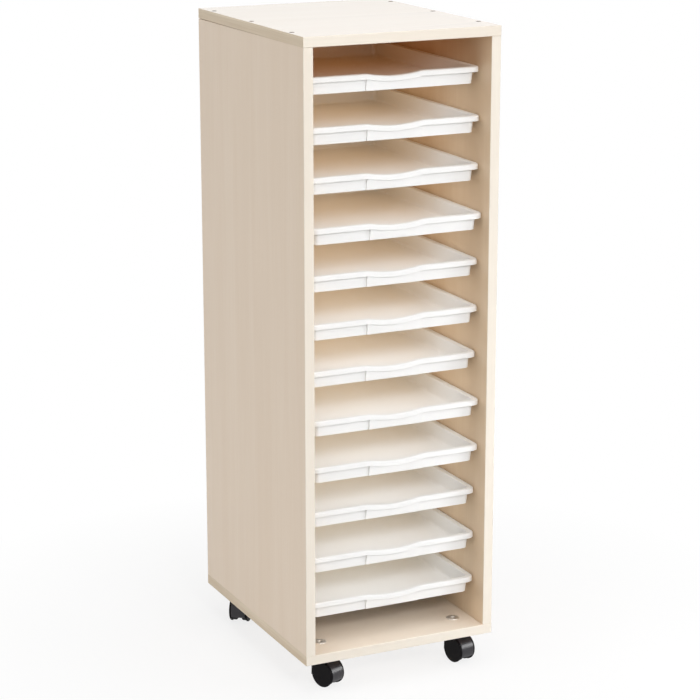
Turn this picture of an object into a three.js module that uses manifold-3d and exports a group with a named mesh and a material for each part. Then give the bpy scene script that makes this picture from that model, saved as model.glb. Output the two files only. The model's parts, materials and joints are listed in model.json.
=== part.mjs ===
// A tall open-fronted cabinet of moulded trays on four twin-wheel castors.
// Millimetres, +Z up, +X to the right, front towards -Y.
// Origin: middle of the footprint, on the floor that the castors stand on.

import * as THREE from 'three';
import { mergeVertices } from 'three/addons/utils/BufferGeometryUtils.js';
import Module from 'manifold-3d';

const wasm = await Module();
wasm.setup();

// Carcass
const CABINET_WIDTH = 371;
const CABINET_DEPTH = 460;
const CABINET_HEIGHT = 1107;
const BOARD = 18;
const EDGE_ROUND = 1.5;
const BACK_BOARD = 6;
const BACK_INSET = 12;
const GROOVE_DEPTH = 8;
const GROOVE_CLEARANCE = 0.3;
const HOLE_CLEARANCE = 0.3;

// Trays
const TOP_TRAY_DROP = 73;
const LOWER_SPACE = 54.5;
const TRAY_HEIGHT = 30;
const TRAY_HOME_SETBACK = 34;
const TRAY_BACK_CLEARANCE = 1.7;
const TRAY_WALL = 2.2;
const TRAY_SIDE_CLEARANCE = 1;
const RIM_SIDE_OVERHANG = 9.5;
const RIM_END_OVERHANG = 8;
const RIM_LIP = 9.5;
const RIM_EDGE_ROUND = 3;
const RIM_CORNER = 16;
const BODY_CORNER = 10;
const BODY_DRAFT = 2;
const FLOOR_FILLET = 6;
const FOOT_ROUND = 1.5;
const GRIP_DIP = 5.2;
const GRIP_HALF_WIDTH = 52;
const FACE_HALF_WIDTH = 52;
const FACE_RAISE = 2.5;
const FACE_STEP_RUN = 0.5;
// How far each tray's rim stands back from the cabinet's front edge, from the top tray down
const TRAY_SETBACKS = [32, 28, 29, 16, 28, 26, 31, 17, 17, 29, 28, 29];

// Runner strips
const RUNNER_TO_TRAY = 2.5;
const RUNNER_HEIGHT = 8;
const RUNNER_SETBACK = 62;
const RUNNER_END_GAP = 4;
const RUNNER_NOSE = 6;
const RUNNER_CLEARANCE = 0.3;

// Castors
const CASTOR_FROM_SIDE = 51;
const CASTOR_FROM_END = 55;
const CASTOR_TRAIL = 20;
const WHEEL_DIAMETER = 48;
const WHEEL_WIDTH = 12;
const WHEEL_FLANGE = 3.5;
const WHEEL_STEP = 1.6;
const WHEEL_EDGE_ROUND = 1.5;
const AXLE_DIAMETER = 6.4;
const AXLE_REACH = 8;
const RUNNING_GAP = 0.4;
const HOOD_WALL = 1.5;
const HOOD_LIFT = 0.6;
const HOOD_MOUTH_DEGREES = 27;
const HOOD_BACK_COVER = 8;
const HOOD_BACK_SILL = 3.5;
const HOOD_BACK_RISE = 11;
const WEB_COVER = 1.1;
const PIVOT_DIAMETER = 7;
const PIVOT_LENGTH = 28;
const BOSS_DIAMETER = 18;
const BOSS_ABOVE_WHEEL = 6.6;
const COLLAR_DIAMETER = 18;
const COLLAR_HEIGHT = 3;
const TEE_BARREL_DIAMETER = 10.5;
const TEE_FLANGE_DIAMETER = 24;
const TEE_FLANGE = 1.6;
const TEE_RECESS_DIAMETER = 8;
const TEE_RECESS = 3;
// Where each castor's wheels trail, turned about the stem from straight towards the front
const CASTORS = [
  { name: 'front_left', side: -1, end: -1, swivelDegrees: 22 },
  { name: 'front_right', side: 1, end: -1, swivelDegrees: 12 },
  { name: 'back_left', side: -1, end: 1, swivelDegrees: -38 },
  { name: 'back_right', side: 1, end: 1, swivelDegrees: 15 },
];

// Fineness of the round forms
const CORNER_STEPS = 3;
const GRIP_STEPS = 4;
const WHEEL_SIDES = 24;
const ROD_SIDES = 12;

// How far a cutting form runs past the face that it cuts
const CUT_OVERRUN = 1;

// Places worked out from the driving sizes
const WHEEL_RADIUS = WHEEL_DIAMETER / 2;
const BOSS_TOP = WHEEL_DIAMETER + BOSS_ABOVE_WHEEL;
const CASTOR_HEIGHT = BOSS_TOP + RUNNING_GAP + COLLAR_HEIGHT;
const HALF_WIDTH = CABINET_WIDTH / 2;
const HALF_DEPTH = CABINET_DEPTH / 2;
const INNER_HALF_WIDTH = HALF_WIDTH - BOARD;
const CASE_BOTTOM = CASTOR_HEIGHT;
const CASE_TOP = CASTOR_HEIGHT + CABINET_HEIGHT;
const FLOOR_TOP = CASE_BOTTOM + BOARD;
const CEILING = CASE_TOP - BOARD;
const GROOVE_BACK = HALF_DEPTH - BACK_INSET;
const GROOVE_WIDTH = BACK_BOARD + 2 * GROOVE_CLEARANCE;
const GROOVE_FRONT = GROOVE_BACK - GROOVE_WIDTH;
const BACK_FACE = GROOVE_FRONT + GROOVE_CLEARANCE;
const INNER_DEPTH = BACK_FACE + HALF_DEPTH;
const TRAY_LENGTH = INNER_DEPTH - TRAY_HOME_SETBACK - TRAY_BACK_CLEARANCE;
const TRAY_SPREAD = CABINET_HEIGHT - TOP_TRAY_DROP - TRAY_HEIGHT - LOWER_SPACE - BOARD;
const TRAY_PITCH = TRAY_SPREAD / (TRAY_SETBACKS.length - 1);
const RUNNER_WIDTH = TRAY_SIDE_CLEARANCE + RIM_SIDE_OVERHANG - RUNNER_TO_TRAY;

const MATERIALS = {
  board: { color: 0xe8d9c0, roughness: 0.5, metalness: 0 },
  runner: { color: 0xd9bf94, roughness: 0.6, metalness: 0 },
  tray: { color: 0xf4f4f2, roughness: 0.35, metalness: 0 },
  hood: { color: 0x1d1b1d, roughness: 0.3, metalness: 0 },
  wheel: { color: 0x161616, roughness: 0.55, metalness: 0 },
  steel: { color: 0xb9b7b2, roughness: 0.35, metalness: 1 },
};

const degrees = THREE.MathUtils.degToRad;

function makeMesh(name, geometry, finish) {
  const mesh = new THREE.Mesh(geometry, new THREE.MeshStandardMaterial(MATERIALS[finish]));
  mesh.name = name;
  return mesh;
}

// Joining and cutting

function toSolid(geometry) {
  const bare = geometry.clone();
  bare.deleteAttribute('normal');
  bare.deleteAttribute('uv');
  const merged = mergeVertices(bare, 1e-4);
  return new wasm.Manifold(new wasm.Mesh({
    numProp: 3,
    vertProperties: new Float32Array(merged.attributes.position.array),
    triVerts: new Uint32Array(merged.index.array),
  }));
}

function toGeometry(solid) {
  const { vertProperties, triVerts } = solid.getMesh();
  const geometry = new THREE.BufferGeometry();
  geometry.setAttribute('position', new THREE.BufferAttribute(vertProperties, 3));
  geometry.setIndex(new THREE.BufferAttribute(triVerts, 1));
  geometry.computeVertexNormals();
  return geometry;
}

function cut(base, tools) {
  const solid = tools.reduce((rest, tool) => rest.subtract(toSolid(tool)), toSolid(base));
  return toGeometry(solid);
}

function join(pieces) {
  return toGeometry(pieces.map(toSolid).reduce((all, piece) => all.add(piece)));
}

// Basic forms

function box(x0, x1, y0, y1, z0, z1) {
  const geometry = new THREE.BoxGeometry(x1 - x0, y1 - y0, z1 - z0);
  return geometry.translate((x0 + x1) / 2, (y0 + y1) / 2, (z0 + z1) / 2);
}

function extrude(shape, length, curveSegments = CORNER_STEPS) {
  return new THREE.ExtrudeGeometry(shape, { depth: length, bevelEnabled: false, curveSegments });
}

// An upright round bar, centred
function rod(radius, length) {
  return new THREE.CylinderGeometry(radius, radius, length, ROD_SIDES).rotateX(Math.PI / 2);
}

// A round bar along X, centred
function axleRod(radius, length, sides) {
  return new THREE.CylinderGeometry(radius, radius, length, sides).rotateZ(Math.PI / 2);
}

// A turned piece about the Z axis; each profile point is [radius, height], from axis to axis
function turn(profile, sides) {
  const points = profile.map(([r, z]) => new THREE.Vector2(r, z));
  return new THREE.LatheGeometry(points, sides).rotateX(Math.PI / 2);
}

// A board's section: depth along x, thickness along y, its two front arrises rounded
function boardSection(depth, thickness, groove) {
  const r = EDGE_ROUND;
  const shape = new THREE.Shape();
  shape.moveTo(0, r);
  shape.absarc(r, r, r, Math.PI, 1.5 * Math.PI, false);
  shape.lineTo(depth, 0);
  shape.lineTo(depth, thickness);
  if (groove) {
    shape.lineTo(groove.to, thickness);
    shape.lineTo(groove.to, thickness - groove.depth);
    shape.lineTo(groove.from, thickness - groove.depth);
    shape.lineTo(groove.from, thickness);
  }
  shape.absarc(r, thickness - r, r, 0.5 * Math.PI, Math.PI, false);
  return shape;
}

// Carcass

const GROOVE_IN_SECTION = {
  from: GROOVE_FRONT + HALF_DEPTH,
  to: GROOVE_BACK + HALF_DEPTH,
  depth: GROOVE_DEPTH,
};

// A form that is the same all along Z, turned over for the left-hand side
function handed(geometry, side) {
  return side < 0 ? geometry.rotateY(Math.PI) : geometry;
}

// Stands between the top and bottom panels, its groove on the inner face
function sidePanel(name, side) {
  const height = CEILING - FLOOR_TOP;
  const geometry = extrude(boardSection(CABINET_DEPTH, BOARD, GROOVE_IN_SECTION), height);
  // The section's depth turns onto +Y and its thickness inwards onto -X
  geometry.rotateZ(Math.PI / 2).translate(HALF_WIDTH, -HALF_DEPTH, -height / 2);
  handed(geometry, side).translate(0, 0, FLOOR_TOP + height / 2);
  return makeMesh(name, geometry, 'board');
}

// A full-width board lying flat with its underside at z
function flatBoard(z) {
  const geometry = extrude(boardSection(CABINET_DEPTH, BOARD), CABINET_WIDTH);
  // The section's depth turns onto +Y, its thickness onto +Z and its length onto +X
  geometry.rotateX(Math.PI / 2).rotateZ(Math.PI / 2);
  return geometry.translate(-HALF_WIDTH, -HALF_DEPTH, z);
}

function backGroove(z0, z1) {
  const reach = INNER_HALF_WIDTH + GROOVE_DEPTH;
  return box(-reach, reach, GROOVE_FRONT, GROOVE_BACK, z0, z1);
}

function topPanel() {
  const groove = backGroove(CEILING - CUT_OVERRUN, CEILING + GROOVE_DEPTH);
  return makeMesh('top_panel', cut(flatBoard(CEILING), [groove]), 'board');
}

function stemPlaces() {
  return CASTORS.map(({ side, end }) => ({
    x: side * (HALF_WIDTH - CASTOR_FROM_SIDE),
    y: end * (HALF_DEPTH - CASTOR_FROM_END),
  }));
}

function bottomPanel() {
  const groove = backGroove(FLOOR_TOP - GROOVE_DEPTH, FLOOR_TOP + CUT_OVERRUN);
  const radius = TEE_BARREL_DIAMETER / 2 + HOLE_CLEARANCE;
  const holes = stemPlaces().map(({ x, y }) => {
    const hole = rod(radius, BOARD + 2 * CUT_OVERRUN);
    return hole.translate(x, y, CASE_BOTTOM + BOARD / 2);
  });
  return makeMesh('bottom_panel', cut(flatBoard(CASE_BOTTOM), [groove, ...holes]), 'board');
}

function backPanel() {
  const reach = INNER_HALF_WIDTH + GROOVE_DEPTH - GROOVE_CLEARANCE;
  const rise = GROOVE_DEPTH - GROOVE_CLEARANCE;
  const geometry = box(-reach, reach, BACK_FACE, BACK_FACE + BACK_BOARD, FLOOR_TOP - rise, CEILING + rise);
  return makeMesh('back_panel', geometry, 'board');
}

// Trays

// How far the rim dips at a distance x from the middle of the tray's front
function gripDip(x) {
  const share = Math.min(Math.abs(x) / GRIP_HALF_WIDTH, 1);
  return GRIP_DIP * (1 - share * share);
}

// How far the raised middle of the front wall stands out at a distance x from its middle
function faceRaise(x) {
  const share = (FACE_HALF_WIDTH - Math.abs(x)) / FACE_STEP_RUN;
  return FACE_RAISE * THREE.MathUtils.clamp(share, 0, 1);
}

// Places along the front edge where the dip and the raised middle need a point
function frontPlaces() {
  const places = [];
  for (let k = -GRIP_STEPS; k <= GRIP_STEPS; k += 1) places.push(GRIP_HALF_WIDTH * k / GRIP_STEPS);
  for (const x of [FACE_HALF_WIDTH, FACE_HALF_WIDTH - FACE_STEP_RUN]) places.push(-x, x);
  places.sort((a, b) => a - b);
  return places.filter((x, k) => k === 0 || x - places[k - 1] > FACE_STEP_RUN / 2);
}

// One level of the tray: a rounded rectangle set in from the rim's outline, walked anticlockwise
function trayRing(level, halfWidth) {
  const right = halfWidth - level.side;
  const front = level.end;
  const back = TRAY_LENGTH - level.end;
  const r = level.corner;
  const points = frontPlaces().map((x) => [
    x,
    front - (level.raised ? faceRaise(x) : 0),
    level.z - (level.dips ? gripDip(x) : 0),
  ]);
  const centres = [
    [right - r, front + r],
    [right - r, back - r],
    [r - right, back - r],
    [r - right, front + r],
  ];
  centres.forEach(([cx, cy], quarter) => {
    for (let k = 0; k <= CORNER_STEPS; k += 1) {
      const angle = (quarter - 1 + k / CORNER_STEPS) * Math.PI / 2;
      points.push([cx + r * Math.cos(angle), cy + r * Math.sin(angle), level.z]);
    }
  });
  return points;
}

// The tray's skin from the middle of its floor up over the rim and back under to its bottom
function trayLevels() {
  const wall = TRAY_WALL;
  const foot = TRAY_HEIGHT - FOOT_ROUND;
  const inset = (extra) => ({ side: RIM_SIDE_OVERHANG + extra, end: RIM_END_OVERHANG + extra });
  const rim = (extra) => ({ side: extra, end: extra, corner: RIM_CORNER - extra, dips: true });
  const inner = BODY_CORNER - wall;
  return [
    { ...inset(BODY_DRAFT + wall + FLOOR_FILLET), corner: inner, z: wall - TRAY_HEIGHT },
    { ...inset(BODY_DRAFT + wall), corner: inner, z: wall - TRAY_HEIGHT + FLOOR_FILLET },
    { ...inset(wall), corner: inner, z: -RIM_EDGE_ROUND, dips: true },
    { ...inset(wall - RIM_EDGE_ROUND), corner: BODY_CORNER, z: 0, dips: true },
    { ...rim(RIM_EDGE_ROUND), z: 0 },
    { ...rim(0), z: -RIM_EDGE_ROUND },
    { ...rim(0), z: -RIM_LIP },
    { ...rim(wall), z: -RIM_LIP },
    { ...rim(wall), z: -wall },
    { ...inset(0), corner: BODY_CORNER, z: -wall, dips: true, raised: true },
    { ...inset(BODY_DRAFT), corner: BODY_CORNER, z: -foot, raised: true },
    { ...inset(BODY_DRAFT + FOOT_ROUND), corner: BODY_CORNER, z: -TRAY_HEIGHT, raised: true },
  ];
}

// A one-piece moulded shell; its rim's front face is at y = 0 and its rim's top at z = 0
function trayShell() {
  const halfWidth = INNER_HALF_WIDTH - TRAY_SIDE_CLEARANCE;
  const rings = trayLevels().map((level) => trayRing(level, halfWidth));
  const count = rings[0].length;
  const middle = TRAY_LENGTH / 2;
  const floor = rings.length * count;
  const bottom = floor + 1;
  const points = [...rings.flat(), [0, middle, TRAY_WALL - TRAY_HEIGHT], [0, middle, -TRAY_HEIGHT]];
  const faces = [];
  for (let k = 0; k < count; k += 1) {
    const next = (k + 1) % count;
    const last = (rings.length - 1) * count;
    faces.push(floor, k, next, bottom, last + next, last + k);
    for (let ring = 0; ring < rings.length - 1; ring += 1) {
      const low = ring * count;
      const high = low + count;
      faces.push(low + k, high + k, high + next, low + k, high + next, low + next);
    }
  }
  const geometry = new THREE.BufferGeometry();
  geometry.setAttribute('position', new THREE.Float32BufferAttribute(points.flat(), 3));
  geometry.setIndex(faces);
  geometry.computeVertexNormals();
  return geometry;
}

function rimTop(index) {
  return CASE_TOP - TOP_TRAY_DROP - TRAY_PITCH * index;
}

// A strip on a side panel that the tray's rim slides on, with a rounded nose at the front
function runnerStrip(name, side, index) {
  const length = INNER_DEPTH - RUNNER_SETBACK - RUNNER_END_GAP;
  const shape = new THREE.Shape();
  shape.moveTo(0, 0);
  shape.lineTo(0, length);
  shape.lineTo(-RUNNER_WIDTH, length);
  shape.lineTo(-RUNNER_WIDTH, RUNNER_NOSE);
  shape.absarc(RUNNER_NOSE - RUNNER_WIDTH, RUNNER_NOSE, RUNNER_NOSE, Math.PI, 1.5 * Math.PI, false);
  const geometry = extrude(shape, RUNNER_HEIGHT).translate(0, 0, -RUNNER_HEIGHT / 2);
  const mesh = makeMesh(name, handed(geometry, side), 'runner');
  const top = rimTop(index) - RIM_LIP - RUNNER_CLEARANCE;
  mesh.position.set(side * INNER_HALF_WIDTH, RUNNER_SETBACK - HALF_DEPTH, top - RUNNER_HEIGHT / 2);
  return mesh;
}

function trayStack() {
  const stack = new THREE.Group();
  TRAY_SETBACKS.forEach((setback, index) => {
    const number = String(index + 1).padStart(2, '0');
    const tray = makeMesh(`tray_${number}`, trayShell(), 'tray');
    tray.position.set(0, setback - HALF_DEPTH, rimTop(index));
    stack.add(tray);
    stack.add(runnerStrip(`runner_left_${number}`, -1, index));
    stack.add(runnerStrip(`runner_right_${number}`, 1, index));
  });
  return stack;
}

// Castors, each modelled about its stem, with the floor at z = 0 and its wheels trailing towards -Y

const WEB_HALF_WIDTH = PIVOT_DIAMETER / 2 + RUNNING_GAP + WEB_COVER;
const WHEEL_INNER = WEB_HALF_WIDTH + HOOD_LIFT;
const WHEEL_OUTER = WHEEL_INNER + WHEEL_WIDTH;
// A faceted wheel stands on a flat, so its corners reach a little past its true radius
const FACET_REACH = 1 / Math.cos(Math.PI / WHEEL_SIDES);
const RIM_REACH = WHEEL_RADIUS * FACET_REACH;
const TREAD_REACH = (WHEEL_RADIUS - WHEEL_STEP) * FACET_REACH;
const HOOD_INNER_REACH = (TREAD_REACH + HOOD_LIFT) * FACET_REACH;
const HOOD_RADIUS = HOOD_INNER_REACH + HOOD_WALL;
const HOOD_HALF_WIDTH = WHEEL_OUTER - WHEEL_FLANGE - HOOD_LIFT;
const COLLAR_BOTTOM = CASTOR_HEIGHT - COLLAR_HEIGHT;
const PIVOT_BOTTOM = COLLAR_BOTTOM - PIVOT_LENGTH;

// Steel stem: pivot, collar under the cabinet, tee-nut barrel through the board and flange on its floor
function castorStem(name) {
  const pivot = PIVOT_DIAMETER / 2;
  const collar = COLLAR_DIAMETER / 2;
  const barrel = TEE_BARREL_DIAMETER / 2;
  const flange = TEE_FLANGE_DIAMETER / 2;
  const recess = TEE_RECESS_DIAMETER / 2;
  const top = FLOOR_TOP + TEE_FLANGE;
  return makeMesh(name, turn([
    [0, PIVOT_BOTTOM],
    [pivot, PIVOT_BOTTOM],
    [pivot, COLLAR_BOTTOM],
    [collar, COLLAR_BOTTOM],
    [collar, CASTOR_HEIGHT],
    [barrel, CASTOR_HEIGHT],
    [barrel, FLOOR_TOP],
    [flange, FLOOR_TOP],
    [flange, top],
    [recess, top],
    [recess, top - TEE_RECESS],
    [0, top - TEE_RECESS],
  ], ROD_SIDES), 'steel');
}

// Side view of the hood about its axle: x runs back and y runs up
function hoodOutline() {
  const mouth = degrees(HOOD_MOUTH_DEGREES);
  const sill = -HOOD_RADIUS * Math.sin(mouth);
  const back = CASTOR_TRAIL + HOOD_BACK_COVER;
  const shape = new THREE.Shape();
  shape.moveTo(-HOOD_RADIUS * Math.cos(mouth), sill);
  shape.lineTo(0, sill);
  shape.lineTo(back, -HOOD_BACK_SILL);
  shape.lineTo(back, HOOD_BACK_RISE);
  shape.absarc(0, 0, HOOD_RADIUS, Math.PI / 4, Math.PI + mouth, false);
  return shape;
}

// Fender round both wheels, a web between them with the stub axles, and the boss that turns on the stem
function castorHood(name) {
  const toAxle = (geometry, x) => geometry.translate(x, -CASTOR_TRAIL, WHEEL_RADIUS);
  const body = extrude(hoodOutline(), 2 * HOOD_HALF_WIDTH, WHEEL_SIDES / 2);
  body.translate(0, 0, -HOOD_HALF_WIDTH).rotateX(Math.PI / 2).rotateZ(Math.PI / 2);
  const bossHeight = BOSS_TOP - WHEEL_RADIUS;
  const boss = rod(BOSS_DIAMETER / 2, bossHeight).translate(0, 0, BOSS_TOP - bossHeight / 2);
  const pocketDepth = HOOD_HALF_WIDTH - WEB_HALF_WIDTH + CUT_OVERRUN;
  const pockets = [-1, 1].map((side) => {
    const pocket = axleRod(HOOD_INNER_REACH, pocketDepth, WHEEL_SIDES);
    return toAxle(pocket, side * (WEB_HALF_WIDTH + pocketDepth / 2));
  });
  const boreDepth = PIVOT_LENGTH + RUNNING_GAP + CUT_OVERRUN;
  const bore = rod(PIVOT_DIAMETER / 2 + RUNNING_GAP, boreDepth);
  bore.translate(0, 0, PIVOT_BOTTOM - RUNNING_GAP + boreDepth / 2);
  const axle = axleRod(AXLE_DIAMETER / 2, 2 * (WEB_HALF_WIDTH + AXLE_REACH), ROD_SIDES);
  const shell = cut(join([toAxle(body, 0), boss]), [...pockets, bore]);
  return makeMesh(name, join([shell, toAxle(axle, 0)]), 'hood');
}

// A flanged disc with a blind bore that runs on a stub axle
function castorWheel(name, side) {
  const bore = AXLE_DIAMETER / 2 + RUNNING_GAP;
  const boreEnd = WEB_HALF_WIDTH + AXLE_REACH + RUNNING_GAP;
  const geometry = turn([
    [0, boreEnd],
    [bore, boreEnd],
    [bore, WHEEL_INNER],
    [TREAD_REACH, WHEEL_INNER],
    [TREAD_REACH, WHEEL_OUTER - WHEEL_FLANGE],
    [RIM_REACH, WHEEL_OUTER - WHEEL_FLANGE],
    [RIM_REACH, WHEEL_OUTER - WHEEL_EDGE_ROUND],
    [RIM_REACH - WHEEL_EDGE_ROUND, WHEEL_OUTER],
    [0, WHEEL_OUTER],
  ], WHEEL_SIDES);
  geometry.rotateZ(Math.PI / WHEEL_SIDES).rotateY(side * Math.PI / 2);
  geometry.translate(0, -CASTOR_TRAIL, WHEEL_RADIUS);
  return makeMesh(name, geometry, 'wheel');
}

function castorSet() {
  const set = new THREE.Group();
  const places = stemPlaces();
  CASTORS.forEach(({ name, swivelDegrees }, index) => {
    const stem = castorStem(`castor_stem_${name}`);
    stem.position.set(places[index].x, places[index].y, 0);
    set.add(stem);
    const swivel = new THREE.Group();
    swivel.position.copy(stem.position);
    swivel.rotation.z = degrees(swivelDegrees);
    swivel.add(castorHood(`castor_hood_${name}`));
    swivel.add(castorWheel(`castor_wheel_left_${name}`, -1));
    swivel.add(castorWheel(`castor_wheel_right_${name}`, 1));
    set.add(swivel);
  });
  return set;
}

const unit = new THREE.Group();
unit.add(topPanel());
unit.add(bottomPanel());
unit.add(sidePanel('left_side_panel', -1));
unit.add(sidePanel('right_side_panel', 1));
unit.add(backPanel());
unit.add(trayStack());
unit.add(castorSet());

export default unit;
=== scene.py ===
"""Looks of a tall open-fronted cabinet of white trays on castors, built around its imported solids.

Metres, +Z up, +X to the right, the open front towards -Y. Every piece stands in the solids' own frame.
"""

import json
import math
from contextlib import contextmanager

import bmesh
import bpy
from mathutils import Matrix, Vector


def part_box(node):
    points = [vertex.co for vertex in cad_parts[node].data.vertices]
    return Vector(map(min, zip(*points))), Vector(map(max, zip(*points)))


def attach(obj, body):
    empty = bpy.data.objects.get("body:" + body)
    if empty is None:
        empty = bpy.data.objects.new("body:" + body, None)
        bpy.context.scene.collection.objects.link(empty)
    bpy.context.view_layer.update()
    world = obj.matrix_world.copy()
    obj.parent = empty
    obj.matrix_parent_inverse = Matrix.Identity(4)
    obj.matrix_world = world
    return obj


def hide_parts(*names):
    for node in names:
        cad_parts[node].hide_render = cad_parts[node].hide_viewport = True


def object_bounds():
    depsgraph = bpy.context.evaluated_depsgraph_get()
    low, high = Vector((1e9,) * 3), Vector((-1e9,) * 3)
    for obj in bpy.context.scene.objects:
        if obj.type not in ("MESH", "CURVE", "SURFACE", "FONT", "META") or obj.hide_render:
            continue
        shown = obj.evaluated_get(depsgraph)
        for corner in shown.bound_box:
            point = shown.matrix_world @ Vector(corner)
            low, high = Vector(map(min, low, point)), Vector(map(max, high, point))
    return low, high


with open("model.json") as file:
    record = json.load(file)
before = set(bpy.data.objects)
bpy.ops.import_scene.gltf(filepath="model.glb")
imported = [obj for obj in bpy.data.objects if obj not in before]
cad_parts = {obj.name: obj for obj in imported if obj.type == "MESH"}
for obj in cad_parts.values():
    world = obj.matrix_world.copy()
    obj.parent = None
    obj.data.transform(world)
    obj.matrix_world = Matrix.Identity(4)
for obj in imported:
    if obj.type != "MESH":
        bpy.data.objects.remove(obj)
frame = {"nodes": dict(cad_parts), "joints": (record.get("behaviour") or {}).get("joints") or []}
cad_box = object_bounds()

MM = 0.001

# Boards
BOARD = 18 * MM
ARRIS_ROUND = 0.8 * MM
EDGE_BAND = 1.0 * MM
GAP_HEIGHT = 1.1 * MM
GAP_DEPTH = 3 * MM
GAP_SHARE = 0.7

# Screws: a head's foot, depth and cross depth are shares of its radius
SCREW_FROM_FRONT = (66 * MM, 236 * MM, 406 * MM)
SCREW_TURN = 0.7
SCREW_SINK = 1.3 * MM
SCREW_STAND = 0.12 * MM
SCREW_HEAD = 8.6 * MM
SCREW_CROSS = 4.6 * MM
SCREW_SLOT = 0.9 * MM
HEAD_ARRIS = 0.25 * MM
HEAD_FOOT = 0.45
HEAD_DEPTH = 0.8
CROSS_DEPTH = 0.5
CROSS_TAPER = 0.55
SINK_DIAMETER = 9.4 * MM
SINK_DEPTH = 5 * MM
SINK_TIP = 0.3

# Trays
TRAY_COUNT = 12
TRAY_WALL = 2.2 * MM
RIM_SIDE_OVERHANG = 9.5 * MM
RIM_END_OVERHANG = 8 * MM
RIM_LIP = 9.5 * MM
RIM_CORNER = 18 * MM
RIM_ROUND = 3.2 * MM
MOUTH_CORNER = 7.8 * MM
MOUTH_ROUND = 1.6 * MM
BODY_DRAFT = 2 * MM
FLOOR_FILLET = 5 * MM
FOOT_ROUND = 1.5 * MM
LIP_ROUND = 0.8 * MM
GRIP_DIP = 5.2 * MM
GRIP_HALF_WIDTH = 52 * MM
GRIP_STEP = 4 * MM
FACE_HALF_WIDTH = 52 * MM
FACE_RAISE = 4 * MM
FACE_LEAN = 1.3 * MM

# Runner strips
RUNNER_NOSE = 6 * MM
RUNNER_ROUND = 0.6 * MM
RUNNER_SCREW_HEAD = 6 * MM
RUNNER_SCREW_FROM_END = 45 * MM

# Castors, each about its stem with its wheels trailing towards -Y
CASTORS = ("front_left", "front_right", "back_left", "back_right")
CASTOR_TRAIL = 20 * MM
CASTOR_HEIGHT = 58 * MM
WHEEL_RADIUS = 24 * MM
WHEEL_INNER = 5.6 * MM
WHEEL_OUTER = 17.6 * MM
WHEEL_FLANGE = 3.5 * MM
WHEEL_TREAD = 22.4 * MM
WHEEL_EDGE = 1.5 * MM
WHEEL_BREAK = 0.1 * MM
WHEEL_BORE_TIP = 0.3
AXLE_RADIUS = 3.2 * MM
AXLE_REACH = 8 * MM
RUNNING_GAP = 0.4 * MM
HOOD_RADIUS = 24.9 * MM
HOOD_CORNER = HOOD_RADIUS * math.sin(math.pi / 4)
HOOD_INNER = 23.3 * MM
HOOD_HALF_WIDTH = 13.5 * MM
HOOD_SILL = 11.3 * MM
HOOD_BACK = 28 * MM
HOOD_BACK_SILL = 3.5 * MM
HOOD_SHOULDER = 11 * MM
HOOD_ROUND = 1.6 * MM
HOOD_ARRIS = 0.3 * MM
WEB_HALF_WIDTH = 5 * MM
BOSS_RADIUS = 9 * MM
BOSS_TOP = 54.6 * MM
PIVOT_RADIUS = 3.5 * MM
PIVOT_BOTTOM = 27 * MM
STEM_EDGE = 0.5 * MM
COLLAR_HEIGHT = 3 * MM
FLANGE_RADIUS = 12 * MM
FLANGE_HEIGHT = 1.6 * MM
FLANGE_SKIRT = 0.3 * MM
FLANGE_CROWN = 0.88 * MM
FLANGE_CROWN_DROP = 0.4 * MM
FLANGE_BEVEL = 2.2 * MM
BARREL_RADIUS = 5.2 * MM
RECESS_RADIUS = 4 * MM
RECESS_DEPTH = 3 * MM
RECESS_TIP = 0.2

# Fineness of the round forms, with angles in radians
CORNER_SEGMENTS = 8
ROUND_SEGMENTS = 4
WHEEL_SIDES = 96
ROD_SIDES = 48
SMOOTH_ANGLE = math.radians(38)
FLAT_ANGLE = math.radians(1)
FOLD_ANGLE = 0.6
MERGE_DISTANCE = 0.01 * MM

# How much of a face's normal lies along an axis where the face counts as turned that way
FACING = 0.5
FACING_UP = 0.7
FACING_FORWARDS = 0.3
FACING_INSIDE = 0.28
LEVEL = 0.95


# Modelling by hand


def pick(piece):
    """Makes one object the only selected one, and the active one."""
    bpy.ops.object.select_all(action="DESELECT")
    piece.select_set(True)
    bpy.context.view_layer.objects.active = piece


@contextmanager
def editing(piece):
    """Edit mode on one piece, with all of it selected."""
    pick(piece)
    bpy.ops.object.mode_set(mode="EDIT")
    bpy.ops.mesh.select_mode(type="FACE")
    bpy.ops.mesh.select_all(action="SELECT")
    yield
    bpy.ops.object.mode_set(mode="OBJECT")


def select_where(piece, kind, wanted):
    """Selects the faces, edges or corners of the piece in edit mode that pass the test."""
    bpy.ops.mesh.select_mode(type=kind)
    bpy.ops.mesh.select_all(action="DESELECT")
    cage = bmesh.from_edit_mesh(piece.data)
    parts = {"FACE": cage.faces, "EDGE": cage.edges, "VERT": cage.verts}[kind]
    for part in parts:
        if wanted(part):
            part.select_set(True)
    bmesh.update_edit_mesh(piece.data)


def both_ends(test):
    """A test of an edge that holds where the test of a place holds at both of its ends."""
    return lambda edge: all(test(corner.co) for corner in edge.verts)


def new_piece(name):
    """The primitive just added, named, with its place and size in its mesh."""
    piece = bpy.context.object
    piece.name = name
    pick(piece)
    bpy.ops.object.transform_apply(location=True, rotation=True, scale=True)
    return piece


def block(name, low, high):
    """A block between two corners."""
    bpy.ops.object.select_all(action="DESELECT")
    bpy.ops.mesh.primitive_cube_add(size=1, location=(Vector(low) + Vector(high)) / 2)
    bpy.context.object.scale = Vector(high) - Vector(low)
    return new_piece(name)


def bar(name, radius, length, centre, sides=ROD_SIDES):
    """A round bar along X."""
    bpy.ops.object.select_all(action="DESELECT")
    quarter = (0, math.pi / 2, 0)
    bpy.ops.mesh.primitive_cylinder_add(
        vertices=sides, radius=radius, depth=length, location=centre, rotation=quarter
    )
    return new_piece(name)


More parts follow.
